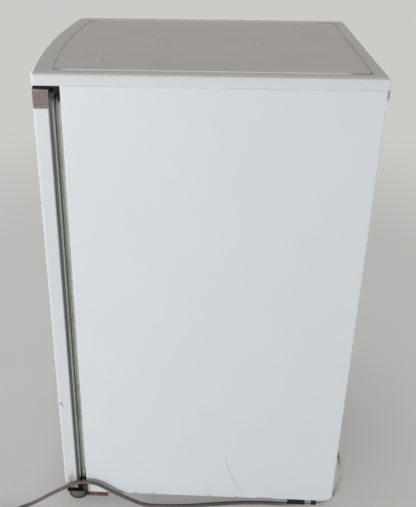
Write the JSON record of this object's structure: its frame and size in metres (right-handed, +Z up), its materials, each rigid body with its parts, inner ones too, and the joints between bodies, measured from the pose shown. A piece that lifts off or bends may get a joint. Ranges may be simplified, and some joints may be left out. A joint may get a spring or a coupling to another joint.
{
  "type": "mini fridge",
  "caption": "Counter-height mini fridge with a flat worktop, a bowed front door hinged on the right, front levelling feet, rear rollers and a mains cord.",
  "frame": {"origin": "on the floor, under the middle of the fridge's bounding box without its cord", "axes": "+Z up, -Y out of the door, +X towards the hinges"},
  "size_m": [0.671, 0.7224, 0.85],
  "materials": {
    "worktop_plastic": "satin",
    "worktop_board": "fine texture",
    "side_paint": "semi-gloss",
    "galvanised": "dull zinc",
    "back_sheet": "matt",
    "liner_white": "gloss",
    "foam": "open foam",
    "screw_steel": "zinc plated",
    "black_steel": "semi-gloss",
    "rusty_steel": "rusted",
    "pin_steel": "bright",
    "foot_plastic": "worn",
    "black_plastic": "matt",
    "roller_plastic": "matt",
    "door_paint": "semi-gloss",
    "seal_grey": "soft",
    "cap_plastic": "fine ribs",
    "bush_plastic": "smooth",
    "clear_plastic": "clear",
    "coated_wire": "dip coated",
    "shelf_glass": "clear",
    "ice_box_metal": "roll bond",
    "flap_plastic": "frosted",
    "knob_plastic": "satin",
    "bulb_glass": "frosted",
    "grommet_rubber": "soft",
    "copper": "drawn copper",
    "cord_jacket": "matt, dusty",
    "plug_plastic": "moulded"
  },
  "bodies": {
    "cabinet": {"worktop_rim": "worktop_plastic", "worktop_panel": "worktop_board", "right_side_panel": "side_paint", "left_side_panel": "side_paint", "top_deck": "side_paint", "base_plate": "galvanised", "back_panel": "back_sheet", "inner_liner": "liner_white", "cabinet_foam": "foam", "worktop_screws": "screw_steel", "top_hinge_bracket": "black_steel", "bottom_hinge_bracket": "rusty_steel", "far_foot_bracket": "rusty_steel", "hinge_pins": "pin_steel", "bracket_screws": "screw_steel", "rear_roller_brackets": "black_plastic", "roller_axles": "pin_steel", "crisper_cover_glass": "shelf_glass", "crisper_cover_trim": "liner_white", "ice_box": "ice_box_metal", "ice_box_hangers": "liner_white", "ice_box_surround": "liner_white", "thermostat_housing": "liner_white", "lamp_cover": "clear_plastic", "lamp_bulb": "bulb_glass", "door_switch_body": "liner_white", "compressor": "black_steel", "compressor_grommets": "grommet_rubber", "compressor_bolts": "screw_steel", "relay_cover": "black_plastic", "evaporating_dish": "black_plastic", "drain_spout": "black_plastic", "filter_drier": "copper", "refrigerant_pipes": "copper", "strain_relief": "black_plastic", "mains_cord": "cord_jacket", "cord_coil": "cord_jacket", "mains_plug": "plug_plastic"},
    "door": {"door_skin": "door_paint", "door_foam": "foam", "door_liner": "liner_white", "door_gasket": "seal_grey", "door_top_cap": "cap_plastic", "door_bottom_cap": "cap_plastic", "hinge_bushes": "bush_plastic"},
    "upper_rack": {"upper_door_rack": "clear_plastic"},
    "middle_rack": {"middle_door_rack": "clear_plastic"},
    "lower_rack": {"bottle_rack": "clear_plastic"},
    "shelf_upper": {"upper_shelf": "coated_wire"},
    "shelf_lower": {"lower_shelf": "coated_wire"},
    "crisper": {"crisper_drawer": "clear_plastic"},
    "tray": {"drip_tray": "clear_plastic"},
    "freezer_flap": {"ice_box_flap": "flap_plastic"},
    "knob": {"thermostat_knob": "knob_plastic"},
    "switch_button": {"door_switch_plunger": "knob_plastic"},
    "right_foot": {"hinge_side_foot": "foot_plastic"},
    "left_foot": {"far_side_foot": "foot_plastic"},
    "right_roller": {"right_rear_roller": "roller_plastic"},
    "left_roller": {"left_rear_roller": "roller_plastic"}
  },
  "joints": [
    {"name": "door_hinge", "type": "hinge", "parent": "cabinet", "child": "door", "pos_m": [0.214, -0.2415, 0.4], "axis": [0, 0, 1], "range_deg": [0, 100]},
    {"name": "upper_rack_lift", "type": "slide", "parent": "door", "child": "upper_rack", "axis": [0, 0, 1], "range_m": [0, 0.02]},
    {"name": "middle_rack_lift", "type": "slide", "parent": "door", "child": "middle_rack", "axis": [0, 0, 1], "range_m": [0, 0.02]},
    {"name": "lower_rack_lift", "type": "slide", "parent": "door", "child": "lower_rack", "axis": [0, 0, 1], "range_m": [0, 0.02]},
    {"name": "upper_shelf_slide", "type": "slide", "parent": "cabinet", "child": "shelf_upper", "axis": [0, -1, 0], "range_m": [0, 0.095]},
    {"name": "lower_shelf_slide", "type": "slide", "parent": "cabinet", "child": "shelf_lower", "axis": [0, -1, 0], "range_m": [0, 0.095]},
    {"name": "crisper_slide", "type": "slide", "parent": "cabinet", "child": "crisper", "axis": [0, -1, 0], "range_m": [0, 0.114]},
    {"name": "drip_tray_slide", "type": "slide", "parent": "cabinet", "child": "tray", "axis": [0, -1, 0], "range_m": [0, 0.105]},
    {"name": "freezer_flap_hinge", "type": "hinge", "parent": "cabinet", "child": "freezer_flap", "pos_m": [0, -0.11225, 0.766], "axis": [-1, 0, 0], "range_deg": [0, 80]},
    {"name": "thermostat_turn", "type": "hinge", "parent": "cabinet", "child": "knob", "pos_m": [0.17, -0.0295, 0.591], "axis": [-1, 0, 0], "range_deg": [0, 270]},
    {"name": "door_switch_press", "type": "slide", "parent": "cabinet", "child": "switch_button", "axis": [0, -1, 0], "range_m": [0, 0.004]},
    {"name": "right_foot_screw", "type": "hinge", "parent": "cabinet", "child": "right_foot", "pos_m": [0.202, -0.2325, 0], "axis": [0, 0, 1], "range_deg": [-720, 720]},
    {"name": "left_foot_screw", "type": "hinge", "parent": "cabinet", "child": "left_foot", "pos_m": [-0.202, -0.2325, 0], "axis": [0, 0, 1], "range_deg": [-720, 720]},
    {"name": "right_roller_spin", "type": "hinge", "parent": "cabinet", "child": "right_roller", "pos_m": [0.195, 0.2205, 0.012], "axis": [1, 0, 0], "continuous": true},
    {"name": "left_roller_spin", "type": "hinge", "parent": "cabinet", "child": "left_roller", "pos_m": [-0.195, 0.2205, 0.012], "axis": [1, 0, 0], "continuous": true}
  ],
  "couplings": [
    {"joint": "upper_shelf_slide", "follows": "door_hinge", "m_per_rad": 0.054},
    {"joint": "lower_shelf_slide", "follows": "door_hinge", "m_per_rad": 0.054},
    {"joint": "crisper_slide", "follows": "door_hinge", "m_per_rad": 0.065},
    {"joint": "drip_tray_slide", "follows": "door_hinge", "m_per_rad": 0.06},
    {"joint": "freezer_flap_hinge", "follows": "door_hinge", "ratio": 0.8},
    {"joint": "door_switch_press", "follows": "door_hinge", "m_per_rad": 0.00229}
  ]
}
